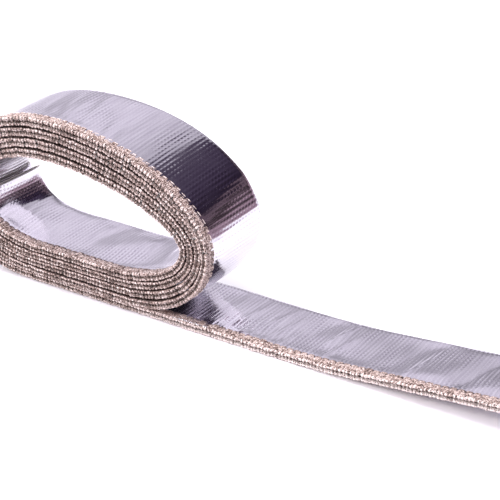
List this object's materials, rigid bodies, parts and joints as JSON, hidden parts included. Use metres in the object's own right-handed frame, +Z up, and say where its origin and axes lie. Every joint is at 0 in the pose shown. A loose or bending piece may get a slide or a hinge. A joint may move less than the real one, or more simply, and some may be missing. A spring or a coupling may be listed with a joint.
{
  "type": "heat shield sleeve",
  "caption": "Oval coil of flat aluminised glass-cloth heat sleeve, folded along one edge and overlocked along the other, with its outer end running out flat.",
  "frame": {"origin": "bottom centre of the whole object's box, on the floor", "axes": "+X along the free tail, away from the coil; +Y from the sewn edge to the folded edge, along the coil's axis; +Z up"},
  "size_m": [0.2269, 0.033, 0.065],
  "materials": {
    "foil": "bright",
    "thread": "matt"
  },
  "bodies": {
    "root": {"foil_sleeve": "foil", "overlock_seam": "thread"}
  },
  "joints": []
}
